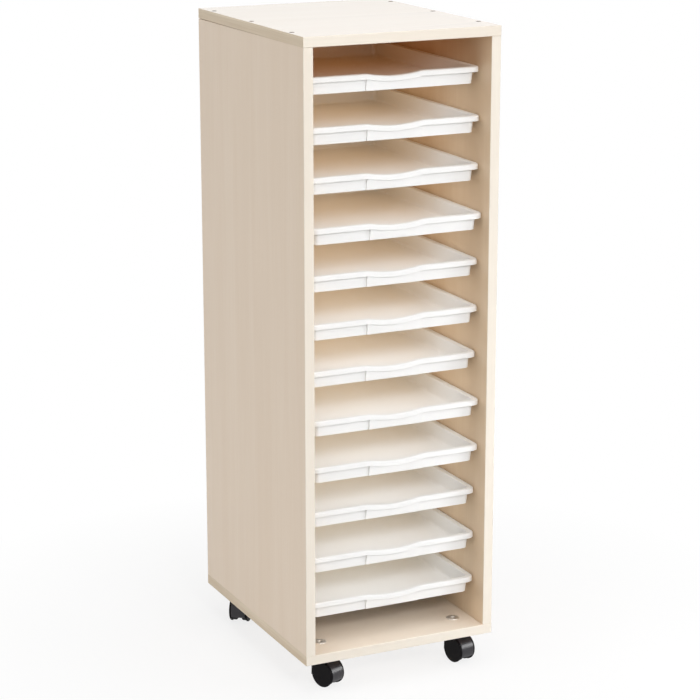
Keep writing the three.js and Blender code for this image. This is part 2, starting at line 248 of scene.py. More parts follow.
def turned(name, profile, sides=ROD_SIDES):
    """A piece turned about Z: a disc drawn up ring by ring through (radius, height) pairs."""
    bpy.ops.object.select_all(action="DESELECT")
    radius, height = profile[0]
    bpy.ops.mesh.primitive_circle_add(
        vertices=sides, radius=radius, fill_type="NGON", location=(0, 0, height)
    )
    piece = new_piece(name)
    with editing(piece):
        for next_radius, next_height in profile[1:]:
            rise = (0, 0, next_height - height)
            bpy.ops.mesh.extrude_region_move(TRANSFORM_OT_translate={"value": rise})
            share = next_radius / radius
            bpy.ops.transform.resize(value=(share, share, 1), center_override=(0, 0, next_height))
            radius, height = next_radius, next_height
        bpy.ops.mesh.select_all(action="SELECT")
        bpy.ops.mesh.normals_make_consistent(inside=False)
    return piece


def apply_modifier(piece, kind, **settings):
    """Adds a modifier to a piece and applies it."""
    pick(piece)
    modifier = piece.modifiers.new(kind.lower(), kind)
    for setting, value in settings.items():
        setattr(modifier, setting, value)
    bpy.ops.object.modifier_apply(modifier=modifier.name)


def combine(piece, tool, operation):
    """Joins a tool to a piece, or cuts the piece by it, and clears the tool away."""
    apply_modifier(piece, "BOOLEAN", operation=operation, object=tool, solver="EXACT")
    bpy.data.objects.remove(tool)


def round_arrises(piece, width, segments=2, least_degrees=50):
    """Rounds every edge at which the surface turns by more than an angle."""
    apply_modifier(
        piece,
        "BEVEL",
        width=width,
        segments=segments,
        limit_method="ANGLE",
        angle_limit=math.radians(least_degrees),
        harden_normals=False,
    )


def shade(piece):
    """Smooth round forms, with the large faces kept flat."""
    pick(piece)
    bpy.ops.object.shade_smooth_by_angle(angle=SMOOTH_ANGLE)
    apply_modifier(piece, "WEIGHTED_NORMAL", mode="FACE_AREA", keep_sharp=True)


def copy_of(master, name, place):
    """A copy of a modelled piece with its own mesh, moved to its place in the mesh."""
    piece = master.copy()
    piece.data = master.data.copy()
    piece.data.transform(place)
    piece.name = name
    bpy.context.scene.collection.objects.link(piece)
    return piece


def join(pieces):
    """Several pieces as one object."""
    pick(pieces[0])
    for piece in pieces[1:]:
        piece.select_set(True)
    bpy.ops.object.join()
    return pieces[0]


def settle(piece, body, materials, nodes=()):
    """Gives a finished piece its materials and its body, and hides the solids it stands for."""
    piece.data.materials.clear()
    for material in materials:
        piece.data.materials.append(material)
    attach(piece, body)
    if nodes:
        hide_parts(*nodes)


# Materials

# Noise of the finishes: its stretch, detail and wander, and the range of it that shows
BANDS = ((26, 26, 1.3), 4, 0.5)
BANDS_SHOWN = (0.36, 0.66)
PORES = ((330, 330, 7), 3)
PORES_SHOWN = (0.4, 0.7)
CLOUDS = ((5, 5, 2.2), 2)
SKIN_CLOUD = {"Scale": 9.0, "Detail": 3.0}
SKIN_CLOUD_SHOWN = (0.3, 0.7)
SKIN_GRAIN_DETAIL = 2.0
TURNING_MARKS = ((900, 900, 2600), 2)
MARKS_SHOWN = (0.3, 0.7)
TARNISH = ((120, 120, 120), 3)
TARNISH_SHOWN = (0.35, 0.65)

# Relief of the finishes: its depth in metres and its strength, and how much it dulls the gloss
PORE_RELIEF = (0.03 * MM, 0.25)
PORE_DULLING = 0.1
SKIN_STRENGTH = 0.3
SKIN_DULLING = 0.08
MARK_RELIEF = (0.02 * MM, 0.2)
MARK_DULLING = 0.16

WOOD_GLOSS = {"Specular_IOR_Level": 0.4, "Coat_Roughness": 0.18}
THIN_LACQUER = 0.3


def add_node(tree, kind, settings=None, **inputs):
    """A node of a tree, with its inputs by name, or by number as i0, i1 and on.

    An input given as a socket is linked, and any other is set as a value.
    """
    node = tree.nodes.new(kind)
    for setting, value in (settings or {}).items():
        setattr(node, setting, value)
    for name, value in inputs.items():
        numbered = name[0] == "i" and name[1:].isdigit()
        socket = node.inputs[int(name[1:]) if numbered else name]
        if isinstance(value, bpy.types.NodeSocket):
            tree.links.new(value, socket)
        else:
            socket.default_value = value
    return node


def new_group(name, inputs, outputs):
    """A shader node group with named sockets, and its two end nodes."""
    group = bpy.data.node_groups.new(name, "ShaderNodeTree")
    for direction, sockets in (("INPUT", inputs), ("OUTPUT", outputs)):
        for socket, kind in sockets:
            group.interface.new_socket(socket, in_out=direction, socket_type=kind)
    return group, group.nodes.new("NodeGroupInput"), group.nodes.new("NodeGroupOutput")


def spread(tree, value, low, high, to_low, to_high):
    """A value from one range carried over to another, held inside it."""
    node = add_node(tree, "ShaderNodeMapRange", {"clamp": True}, Value=value)
    for socket, number in zip(("From Min", "From Max", "To Min", "To Max"), (low, high, to_low, to_high)):
        node.inputs[socket].default_value = number
    return node.outputs["Result"]


def stretched_noise(tree, vector, stretch, detail, wander=0.0):
    """Noise drawn out along the vector's own axes."""
    scaled = add_node(tree, "ShaderNodeVectorMath", {"operation": "MULTIPLY"}, i0=vector, i1=stretch)
    noise = add_node(
        tree, "ShaderNodeTexNoise", Vector=scaled.outputs[0], Scale=1.0, Detail=detail, Distortion=wander
    )
    return noise.outputs["Fac"]


def tone(tree, factor, first, second):
    """One colour passing into another by a factor."""
    node = add_node(tree, "ShaderNodeMix", {"data_type": "RGBA"}, i0=factor, i6=first, i7=second)
    return node.outputs[2]


def make_wood_figure():
    """Slow cloudy bands and fine pores that run along the vector's Z."""
    group, start, end = new_group(
        "wood_figure",
        [("Vector", "NodeSocketVector"), ("Pale", "NodeSocketColor"), ("Deep", "NodeSocketColor")],
        [("Color", "NodeSocketColor"), ("Pores", "NodeSocketFloat")],
    )
    vector = start.outputs["Vector"]
    bands = spread(group, stretched_noise(group, vector, *BANDS), *BANDS_SHOWN, 0, 1)
    pores = spread(group, stretched_noise(group, vector, *PORES), *PORES_SHOWN, 0, 1)
    clouds = stretched_noise(group, vector, *CLOUDS)
    figure = tone(group, bands, start.outputs["Pale"], start.outputs["Deep"])
    lines = add_node(group, "ShaderNodeMath", {"operation": "MULTIPLY"}, i0=pores, i1=clouds)
    fine = tone(group, lines.outputs[0], figure, start.outputs["Deep"])
    group.links.new(fine, end.inputs["Color"])
    group.links.new(pores, end.inputs["Pores"])
    return group


def make_moulded_skin():
    """The fine spark-eroded grain and the slow unevenness of moulded plastic."""
    group, start, end = new_group(
        "moulded_skin",
        [("Vector", "NodeSocketVector"), ("Fineness", "NodeSocketFloat")],
        [("Grain", "NodeSocketFloat"), ("Cloud", "NodeSocketFloat")],
    )
    grain = add_node(
        group,
        "ShaderNodeTexNoise",
        Vector=start.outputs["Vector"],
        Scale=start.outputs["Fineness"],
        Detail=SKIN_GRAIN_DETAIL,
    )
    cloud = add_node(group, "ShaderNodeTexNoise", Vector=start.outputs["Vector"], **SKIN_CLOUD)
    group.links.new(grain.outputs["Fac"], end.inputs["Grain"])
    group.links.new(cloud.outputs["Fac"], end.inputs["Cloud"])
    return group


wood_figure = make_wood_figure()
moulded_skin = make_moulded_skin()


def new_material(name, **plain):
    """A material, its tree, its Principled shader with constant values set, and its Object coordinates."""
    material = bpy.data.materials.new(name)
    material.use_nodes = True
    tree = material.node_tree
    shader = tree.nodes["Principled BSDF"]
    for socket, value in plain.items():
        shader.inputs[socket.replace("_", " ")].default_value = value
    coordinates = tree.nodes.new("ShaderNodeTexCoord").outputs["Object"]
    return material, tree, shader, coordinates


def bump(tree, shader, height, depth, strength):
    """Relief of a real depth in metres."""
    node = add_node(tree, "ShaderNodeBump", Strength=strength, Distance=depth, Height=height)
    tree.links.new(node.outputs["Normal"], shader.inputs["Normal"])


GRAIN_TURN = {"X": (0, math.pi / 2, 0), "Y": (math.pi / 2, 0, 0), "Z": (0, 0, 0)}


def wood(name, grain, pale, deep, rough, lacquer=THIN_LACQUER):
    """Wood or a printed wood facing whose figure runs along one axis, under a thin lacquer."""
    material, tree, shader, place = new_material(name, Coat_Weight=lacquer, **WOOD_GLOSS)
    turned_place = add_node(tree, "ShaderNodeMapping", Vector=place, Rotation=GRAIN_TURN[grain])
    figure = add_node(tree, "ShaderNodeGroup", {"node_tree": wood_figure}, Pale=pale, Deep=deep)
    tree.links.new(turned_place.outputs[0], figure.inputs["Vector"])
    tree.links.new(figure.outputs["Color"], shader.inputs["Base Color"])
    pores = figure.outputs["Pores"]
    dulled = spread(tree, pores, 0, 1, rough, rough + PORE_DULLING)
    tree.links.new(dulled, shader.inputs["Roughness"])
    bump(tree, shader, pores, *PORE_RELIEF)
    return material


def moulded(name, colour, clouded, rough, fineness, relief, **plain):
    """Moulded plastic: a colour that drifts a little, with a fine grain in its gloss."""
    material, tree, shader, place = new_material(name, **plain)
    skin = add_node(tree, "ShaderNodeGroup", {"node_tree": moulded_skin}, Vector=place, Fineness=fineness)
    cloud = spread(tree, skin.outputs["Cloud"], *SKIN_CLOUD_SHOWN, 0, 1)
    tree.links.new(tone(tree, cloud, colour, clouded), shader.inputs["Base Color"])
    dulled = spread(tree, cloud, 0, 1, rough, rough + SKIN_DULLING)
    tree.links.new(dulled, shader.inputs["Roughness"])
    bump(tree, shader, skin.outputs["Grain"], relief, SKIN_STRENGTH)
    return material


def plated_steel(name, bright, dull, rough):
    """Plated steel with faint turning marks and a slow tarnish."""
    material, tree, shader, place = new_material(name, Metallic=1.0)
    marks = stretched_noise(tree, place, *TURNING_MARKS)
    tarnish = spread(tree, stretched_noise(tree, place, *TARNISH), *TARNISH_SHOWN, 0, 1)
    tree.links.new(tone(tree, tarnish, bright, dull), shader.inputs["Base Color"])
    dulled = spread(tree, marks, *MARKS_SHOWN, rough, rough + MARK_DULLING)
    tree.links.new(dulled, shader.inputs["Roughness"])
    bump(tree, shader, marks, *MARK_RELIEF)
    return material


MAPLE_PALE = (0.81, 0.665, 0.515, 1)
MAPLE_DEEP = (0.785, 0.632, 0.478, 1)
# Painted highlight: a paler copy of the maple for the upward faces, standing in for the light and sheen
# they catch
PAINTED_HIGHLIGHT_MAPLE_PALE = (0.84, 0.735, 0.62, 1)
PAINTED_HIGHLIGHT_MAPLE_DEEP = (0.825, 0.715, 0.595, 1)
# Painted shade: a darker, warmer copy of the maple for the faces inside the cabinet, standing in for the
# shade and warm bounce light there
PAINTED_SHADE_MAPLE_PALE = (0.78, 0.61, 0.43, 1)
PAINTED_SHADE_MAPLE_DEEP = (0.745, 0.565, 0.385, 1)
END_PALE = (0.82, 0.7, 0.53, 1)
END_DEEP = (0.62, 0.485, 0.325, 1)
BAND_PALE = (0.84, 0.775, 0.68, 1)
BAND_DEEP = (0.8, 0.725, 0.625, 1)
# Painted shade: a near-black colour for the walls of the countersinks, standing in for the shade in them
PAINTED_SHADE_SINK_PALE = (0.15, 0.11, 0.075, 1)
PAINTED_SHADE_SINK_DEEP = (0.09, 0.065, 0.045, 1)
HARDWOOD_PALE = (0.66, 0.5, 0.32, 1)
HARDWOOD_DEEP = (0.5, 0.34, 0.19, 1)
TRAY_CLEAR = (0.89, 0.888, 0.88, 1)
TRAY_CLOUDED = (0.87, 0.867, 0.857, 1)
HOOD_CLEAR = (0.009, 0.007, 0.011, 1)
HOOD_CLOUDED = (0.014, 0.011, 0.016, 1)
WHEEL_CLEAR = (0.004, 0.0035, 0.004, 1)
WHEEL_CLOUDED = (0.007, 0.006, 0.007, 1)
STEEL_BRIGHT = (0.84, 0.81, 0.77, 1)
STEEL_DULL = (0.72, 0.69, 0.64, 1)
SCREW_BRIGHT = (0.1, 0.094, 0.09, 1)
SCREW_DULL = (0.06, 0.056, 0.053, 1)

maple = {axis: wood(f"maple_facing_{axis}", axis, MAPLE_PALE, MAPLE_DEEP, rough=0.36) for axis in "XZ"}
# Painted highlight: the maple of the upward faces, paler than the sides
painted_highlight_maple = wood("maple_painted_highlight_top", "X", PAINTED_HIGHLIGHT_MAPLE_PALE, PAINTED_HIGHLIGHT_MAPLE_DEEP, rough=0.3, lacquer=0.9)
# Painted shade: the maple of the inward faces, darker and warmer than the outside
painted_shade_maple = {axis: wood(f"painted_shade_maple_{axis}", axis, PAINTED_SHADE_MAPLE_PALE, PAINTED_SHADE_MAPLE_DEEP, rough=0.4) for axis in "XZ"}
band = {axis: wood(f"edge_band_{axis}", axis, BAND_PALE, BAND_DEEP, rough=0.32) for axis in "XZ"}
end_band = wood("end_band", "Y", END_PALE, END_DEEP, rough=0.42)
# Painted shade: the dark walls of the countersinks
painted_shade_sink = wood("painted_shade_sink", "Z", PAINTED_SHADE_SINK_PALE, PAINTED_SHADE_SINK_DEEP, rough=0.8, lacquer=0.0)
hardwood = wood("hardwood", "Y", HARDWOOD_PALE, HARDWOOD_DEEP, rough=0.45)
tray_white = moulded(
    "tray_white", TRAY_CLEAR, TRAY_CLOUDED, rough=0.3, fineness=1400.0, relief=0.02 * MM, IOR=1.49
)
hood_black = moulded(
    "hood_black", HOOD_CLEAR, HOOD_CLOUDED, rough=0.25, fineness=2200.0, relief=0.02 * MM, IOR=1.52
)
wheel_black = moulded(
    "wheel_black",
    WHEEL_CLEAR,
    WHEEL_CLOUDED,
    rough=0.5,
    fineness=1600.0,
    relief=0.03 * MM,
    Specular_IOR_Level=0.08,
)
steel = plated_steel("plated_steel", STEEL_BRIGHT, STEEL_DULL, rough=0.46)
screw_steel = plated_steel("screw_steel", SCREW_BRIGHT, SCREW_DULL, rough=0.34)


# Cabinet


def board(name, node, faces, ends, tools=()):
    """A panel's solid, merged, with its arrises rounded and the tools cut out.

    The faces give the axis of its main grain, and the ends are tests of faces with their own facings.
    """
    source = frame["nodes"][node]
    piece = bpy.data.objects.new(name, source.data.copy())
    bpy.context.scene.collection.objects.link(piece)
    with editing(piece):
        bpy.ops.mesh.remove_doubles(threshold=MERGE_DISTANCE)
        bpy.ops.mesh.dissolve_limited(angle_limit=FLAT_ANGLE)
        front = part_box(node)[0].y + EDGE_BAND
        bpy.ops.mesh.select_all(action="SELECT")
        bpy.ops.mesh.bisect(plane_co=(0, front, 0), plane_no=(0, 1, 0))
    round_arrises(piece, ARRIS_ROUND)
    for tool in tools:
        combine(piece, tool, "DIFFERENCE")
    shade(piece)
    settle(piece, "cabinet", [maple[faces], *(material for _, material in ends)], [node])
    low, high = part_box(node)
    for face in piece.data.polygons:
        for index, (on_end, _) in enumerate(ends, start=1):
            if on_end(face.center, face.normal, low, high):
                face.material_index = index


# Tests of a board's faces, each by its centre and normal and the two corners of the board's box


def on_front(centre, normal, low, high):
    return centre.y < low.y + EDGE_BAND


def on_back(centre, normal, low, high):
    return normal.y > FACING and centre.y > high.y - EDGE_BAND


def on_sides(centre, normal, low, high):
    return abs(normal.x) > FACING and abs(centre.x) > high.x - EDGE_BAND


def to_inside(centre, normal, low, high):
    return normal.x * math.copysign(1, low.x + high.x) < -FACING_INSIDE


def to_floor(centre, normal, low, high):
    return normal.z < -FACING


def to_sky(centre, normal, low, high):
    return normal.z > FACING_UP


def to_front(centre, normal, low, high):
    return normal.y < -FACING


def in_sink(centre, normal, low, high):
    """On the wall of a countersink, which takes painted shade."""
    across = abs(abs(centre.x) - high.x + BOARD / 2)
    along = min(abs(centre.y - low.y - y) for y in SCREW_FROM_FRONT)
    return max(across, along) < SINK_DIAMETER / 2 and abs(normal.z) < LEVEL


def joint_gap(node):
    """What a joint that stands open towards the back takes off the outer edge of a side panel's head."""
    low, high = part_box(node)
    outer = max(low.x, high.x, key=abs)
    inner = outer - math.copysign(GAP_DEPTH, outer)
    front = high.y - GAP_SHARE * (high.y - low.y)
    tool = block(
        "joint_gap",
        (min(inner, 2 * outer - inner), front, high.z - GAP_HEIGHT),
        (max(inner, 2 * outer - inner), high.y + BOARD, high.z + GAP_HEIGHT),
    )
    with editing(tool):
        select_where(tool, "VERT", lambda corner: corner.co.y < front + MM and corner.co.z < high.z)
        bpy.ops.transform.translate(value=(0, 0, GAP_HEIGHT))
    return tool


def sink_tool(place):
    """What a countersink takes out of a board, its mouth at z = 0 before it is placed."""
    mouth = SINK_DIAMETER / 2
    tool = turned("sink", [(mouth * SINK_TIP, -SINK_DEPTH), (mouth, -SCREW_SINK), (mouth, BOARD / 2)])
    tool.data.transform(place)
    return tool


def screw_places():
    """Over the side panels: where screws go down into the top, and up into the bottom."""
    low, high = cad_box
    across = high.x - BOARD / 2
    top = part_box("top_panel")[1].z
    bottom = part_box("bottom_panel")[0].z
    over = Matrix.Rotation(math.pi, 4, "X")
    above, below = [], []
    for side in (-1, 1):
        for y in SCREW_FROM_FRONT:
            turn = Matrix.Rotation(SCREW_TURN * len(above), 4, "Z")
            above.append(Matrix.Translation((side * across, low.y + y, top)) @ turn)
            below.append(Matrix.Translation((side * across, low.y + y, bottom)) @ over @ turn)
    return above, below


def cabinet_boards():
    """The five panels with their facings, edge bands, countersinks and open joints."""
    flat_ends = [(on_front, band["X"]), (on_back, band["X"]), (on_sides, end_band)]
    # Painted shade: the faces turned into the cabinet, the underside of the top and the front of the back
    # take the darker, warmer maple
    upright_ends = [(to_inside, painted_shade_maple["Z"]), (on_front, band["Z"]), (on_back, band["Z"])]
    # Painted shade: the walls of the countersinks take a dark colour
    above, below = ([sink_tool(place) for place in places] for places in screw_places())
    # Painted highlight: the upward faces take the paler maple
    floor_ends = [(to_sky, painted_highlight_maple), *flat_ends, (in_sink, painted_shade_sink)]
    top_ends = [(to_floor, painted_shade_maple["X"]), *floor_ends]
    board("maple_top", "top_panel", "X", top_ends, above)
    board("maple_bottom", "bottom_panel", "X", floor_ends, below)
    for side in ("left", "right"):
        node = f"{side}_side_panel"
        board(f"maple_{side}_side", node, "Z", upright_ends, [joint_gap(node)])
    board("maple_back", "back_panel", "Z", [(to_front, painted_shade_maple["Z"])])


def screw_head(name, diameter):
    """A countersunk head with a cross recess, its flat top at z = 0."""
    radius = diameter / 2
    head = turned(
        name,
        [
            (radius * HEAD_FOOT, -radius * HEAD_DEPTH),
            (radius - HEAD_ARRIS, -HEAD_ARRIS * 2),
            (radius, -HEAD_ARRIS),
            (radius - HEAD_ARRIS, 0),
        ],
    )
    reach = SCREW_CROSS / 2 * diameter / SCREW_HEAD
    slot = SCREW_SLOT / 2
    depth = radius * CROSS_DEPTH
    for x, y in ((reach, slot), (slot, reach)):
        tool = block("cross_tool", (-x, -y, -depth), (x, y, depth))
        with editing(tool):
            select_where(tool, "FACE", lambda face: face.normal.z < -FACING)
            bpy.ops.transform.resize(value=(CROSS_TAPER, CROSS_TAPER, 1), center_override=(0, 0, -depth))
        combine(head, tool, "DIFFERENCE")
    shade(head)
    return head


def scatter(master, name, places):
    """Copies of one screw head at several places, as one object on the cabinet."""
    copies = [copy_of(master, f"{name}_{number}", place) for number, place in enumerate(places)]
    bpy.data.objects.remove(master)
    group = join(copies)
    group.name = name
    settle(group, "cabinet", [screw_steel])


def board_screws():
    """Heads down in the countersinks of the top and bottom panels."""
    sunk = Matrix.Translation((0, 0, -SCREW_SINK))
    for name, places in zip(("top_screws", "bottom_screws"), screw_places()):
        master = screw_head(f"{name}_head", SCREW_HEAD)
        scatter(master, name, [place @ sunk for place in places])


# Trays


def rounded_plate(name, width, length, centre, corner):
    """A flat sheet with round corners."""
    bpy.ops.object.select_all(action="DESELECT")
    bpy.ops.mesh.primitive_plane_add(size=1, location=centre)
    bpy.context.object.scale = (width, length, 1)
    plate = new_piece(name)
    with editing(plate):
        bpy.ops.mesh.bevel(offset=corner, segments=CORNER_SEGMENTS, affect="VERTICES")
    return plate


def grip_dip(x):
    """How far the rim dips at a distance x from the middle of the tray's front."""
    share = min(abs(x) / GRIP_HALF_WIDTH, 1)
    return GRIP_DIP * (1 - share * share)


def grip_places():
    """Where the front needs points for its dip and its raised middle."""
    steps = round(GRIP_HALF_WIDTH / GRIP_STEP)
    return [GRIP_STEP * step for step in range(-steps, steps + 1)]


def tray_skin(low, high):
    """The inner and upper skin of a tray: a rim, its downturned lip, and a drafted well."""
    middle = ((low.x + high.x) / 2, (low.y + high.y) / 2, high.z)
    side = RIM_SIDE_OVERHANG + TRAY_WALL
    end = RIM_END_OVERHANG + TRAY_WALL
    width, length = high.x - low.x, high.y - low.y
    depth = high.z - low.z - TRAY_WALL
    floor = high.z - depth
    rim = rounded_plate("tray_rim", width, length, middle, RIM_CORNER)
    mouth = rounded_plate("tray_mouth", width - 2 * side, length - 2 * end, middle, MOUTH_CORNER)
    skin = join([rim, mouth])

    def in_mouth(place):
        return (
            abs(place.x - middle[0]) < width / 2 - side + MERGE_DISTANCE
            and abs(place.y - middle[1]) < length / 2 - end + MERGE_DISTANCE
        )

    def at_top(place):
        return place.z > high.z - MERGE_DISTANCE

    with editing(skin):
        bpy.ops.mesh.delete(type="ONLY_FACE")
        bpy.ops.mesh.select_mode(type="EDGE")
        bpy.ops.mesh.select_all(action="SELECT")
        bpy.ops.mesh.bridge_edge_loops()
        select_where(skin, "EDGE", lambda e: e.is_boundary and not both_ends(in_mouth)(e))
        bpy.ops.mesh.extrude_region_move(TRANSFORM_OT_translate={"value": (0, 0, -RIM_LIP)})
        select_where(skin, "EDGE", lambda e: e.is_boundary and both_ends(in_mouth)(e))
        bpy.ops.mesh.extrude_region_move(TRANSFORM_OT_translate={"value": (0, 0, -depth)})
        draft = [1 - BODY_DRAFT / (size / 2 - inset) for size, inset in ((width, side), (length, end))]
        bpy.ops.transform.resize(value=(*draft, 1), center_override=(middle[0], middle[1], floor))
        bpy.ops.mesh.edge_face_add()
        select_where(skin, "EDGE", both_ends(lambda place: at_top(place) and not in_mouth(place)))
        bpy.ops.mesh.bevel(offset=RIM_ROUND, segments=ROUND_SEGMENTS + 1, affect="EDGES")
        select_where(skin, "EDGE", both_ends(lambda place: at_top(place) and in_mouth(place)))
        bpy.ops.mesh.bevel(offset=MOUTH_ROUND, segments=ROUND_SEGMENTS, affect="EDGES")
        for x in grip_places():
            bpy.ops.mesh.select_all(action="SELECT")
            bpy.ops.mesh.bisect(plane_co=(middle[0] + x, 0, 0), plane_no=(1, 0, 0))
        bpy.ops.mesh.select_all(action="SELECT")
        bpy.ops.mesh.normals_make_consistent(inside=False)
    return skin


def dip_front(skin, low, high):
    """Presses the finger dip into the front of the rim and its lip."""
    wall = low.y + RIM_END_OVERHANG + TRAY_WALL + BODY_DRAFT
    lip = high.z - RIM_LIP - MERGE_DISTANCE
    middle = (low.x + high.x) / 2
    for corner in skin.data.vertices:
        if corner.co.y < wall and corner.co.z > lip:
            corner.co.z -= grip_dip(corner.co.x - middle)


def face_up(skin):
    """Turns an open skin so that its floor and rim face upwards."""
    rise = sum(face.normal.z * face.area for face in skin.data.polygons)
    if rise < 0:
        with editing(skin):
            bpy.ops.mesh.flip_normals()


def raise_face(tray, low, high):
    """Brings the middle of the front wall forwards by a small step that deepens towards the lip."""
    lip_back = low.y + TRAY_WALL + MERGE_DISTANCE
    wall_back = low.y + RIM_END_OVERHANG + 2 * TRAY_WALL
    middle = (low.x + high.x) / 2

    def on_wall(face):
        centre = face.calc_center_median()
        return (
            face.normal.y < -FACING_FORWARDS
            and lip_back < centre.y < wall_back
            and abs(centre.x - middle) < FACE_HALF_WIDTH
        )

    with editing(tray):
        select_where(tray, "FACE", on_wall)
        bpy.ops.mesh.extrude_region_move(TRANSFORM_OT_translate={"value": (0, -FACE_RAISE, 0)})
        cage = bmesh.from_edit_mesh(tray.data)
        raised = [corner for corner in cage.verts if corner.select]
        heights = [corner.co.z for corner in raised]
        foot, head = min(heights), max(heights)
        for corner in raised:
            corner.co.y -= FACE_LEAN * (2 * (corner.co.z - foot) / (head - foot) - 1)
        bmesh.update_edit_mesh(tray.data)


def round_foot(tray, low, high):
    """Fillets the floor inside, and rounds the foot and the lip's lower edge outside."""
    floor = low.z + TRAY_WALL
    lip = high.z - RIM_LIP
    side = RIM_SIDE_OVERHANG / 2

    def at(height):
        return lambda place: abs(place.z - height) < MERGE_DISTANCE

    def under_lip(place):
        over = max(low.x + side - place.x, place.x - high.x + side)
        beyond = max(low.y + side - place.y, place.y - high.y + side)
        return place.z < lip + MERGE_DISTANCE and max(over, beyond) > 0

    with editing(tray):
        for test, offset in ((at(floor), FLOOR_FILLET), (at(low.z), FOOT_ROUND), (under_lip, LIP_ROUND)):
            select_where(tray, "EDGE", lambda e: both_ends(test)(e) and e.calc_face_angle(0) > FOLD_ANGLE)
            bpy.ops.mesh.bevel(offset=offset, segments=ROUND_SEGMENTS, affect="EDGES")


def white_trays():
    """One tray, modelled in the place of the first and copied to all the places."""
    low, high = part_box("tray_01")
    master = tray_skin(low, high)
    dip_front(master, low, high)
    face_up(master)
    apply_modifier(master, "SOLIDIFY", thickness=TRAY_WALL, offset=-1, use_even_offset=True)
    raise_face(master, low, high)
    round_foot(master, low, high)
    shade(master)
    for number in range(1, TRAY_COUNT + 1):
        node = f"tray_{number:02d}"
        place = Matrix.Translation(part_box(node)[0] - low)
        tray = copy_of(master, f"white_{node}", place)
        settle(tray, f"{node}_body", [tray_white], [node])
    bpy.data.objects.remove(master)


# Runner strips


def runner_strip(name, node):
    """A hardwood strip with a round nose at its front, on the side away from the panel."""
    low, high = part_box(node)
    strip = block(name, low, high)
    inner = min(low.x, high.x, key=abs)

    def on_nose(place):
        return abs(place.x - inner) < MERGE_DISTANCE and place.y < low.y + MERGE_DISTANCE

    with editing(strip):
        select_where(strip, "EDGE", both_ends(on_nose))
        bpy.ops.mesh.bevel(offset=RUNNER_NOSE, segments=CORNER_SEGMENTS, affect="EDGES")
    round_arrises(strip, RUNNER_ROUND)
    shade(strip)
    return strip


def runner_strips():
    """A strip under each side of every tray, screwed to its panel."""
    screws = []
    for side, hand in (("left", 1), ("right", -1)):
        first = f"runner_{side}_01"
        master = runner_strip(f"hardwood_{side}", first)
        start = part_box(first)[0]
        to_middle = Matrix.Rotation(hand * math.pi / 2, 4, "Y")
        for number in range(1, TRAY_COUNT + 1):
            node = f"runner_{side}_{number:02d}"
            low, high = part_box(node)
            strip = copy_of(master, f"hardwood_{node}", Matrix.Translation(low - start))
            settle(strip, "cabinet", [hardwood], [node])
            inner = min(low.x, high.x, key=abs) + hand * SCREW_STAND
            for y in (low.y + RUNNER_SCREW_FROM_END, high.y - RUNNER_SCREW_FROM_END):
                screws.append(Matrix.Translation((inner, y, (low.z + high.z) / 2)) @ to_middle)
        bpy.data.objects.remove(master)
    scatter(screw_head("runner_screw", RUNNER_SCREW_HEAD), "runner_screws", screws)


# Castors


def castor_stem():
    """Pivot, collar under the cabinet, barrel through the board, and the bevelled flange on its floor."""
    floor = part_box("bottom_panel")[1].z
    collar = CASTOR_HEIGHT - COLLAR_HEIGHT
    top = floor + FLANGE_HEIGHT
    stem = turned(
        "steel_stem",
        [
            (PIVOT_RADIUS - STEM_EDGE, PIVOT_BOTTOM),
            (PIVOT_RADIUS, PIVOT_BOTTOM + STEM_EDGE),
            (PIVOT_RADIUS, collar),
            (BOSS_RADIUS - STEM_EDGE, collar),
            (BOSS_RADIUS, collar + STEM_EDGE),
            (BOSS_RADIUS, CASTOR_HEIGHT),
            (BARREL_RADIUS, CASTOR_HEIGHT),
            (BARREL_RADIUS, floor),
            (FLANGE_RADIUS, floor),
            (FLANGE_RADIUS, floor + FLANGE_SKIRT),
            (FLANGE_RADIUS - FLANGE_CROWN, top - FLANGE_CROWN_DROP),
            (FLANGE_RADIUS - FLANGE_BEVEL, top),
            (RECESS_RADIUS + STEM_EDGE, top),
            (RECESS_RADIUS, top - STEM_EDGE),
            (RECESS_RADIUS, top - RECESS_DEPTH),
            (RECESS_RADIUS * RECESS_TIP, top - RECESS_DEPTH),
        ],
    )
    shade(stem)
    return stem


def hood_back(rise):
    """How far back the hood's outline reaches, behind the axle, at a height above it."""
    if rise <= HOOD_SHOULDER:
        return HOOD_BACK
    share = (rise - HOOD_SHOULDER) / (HOOD_CORNER - HOOD_SHOULDER)
    return HOOD_BACK + share * (HOOD_CORNER - HOOD_BACK)


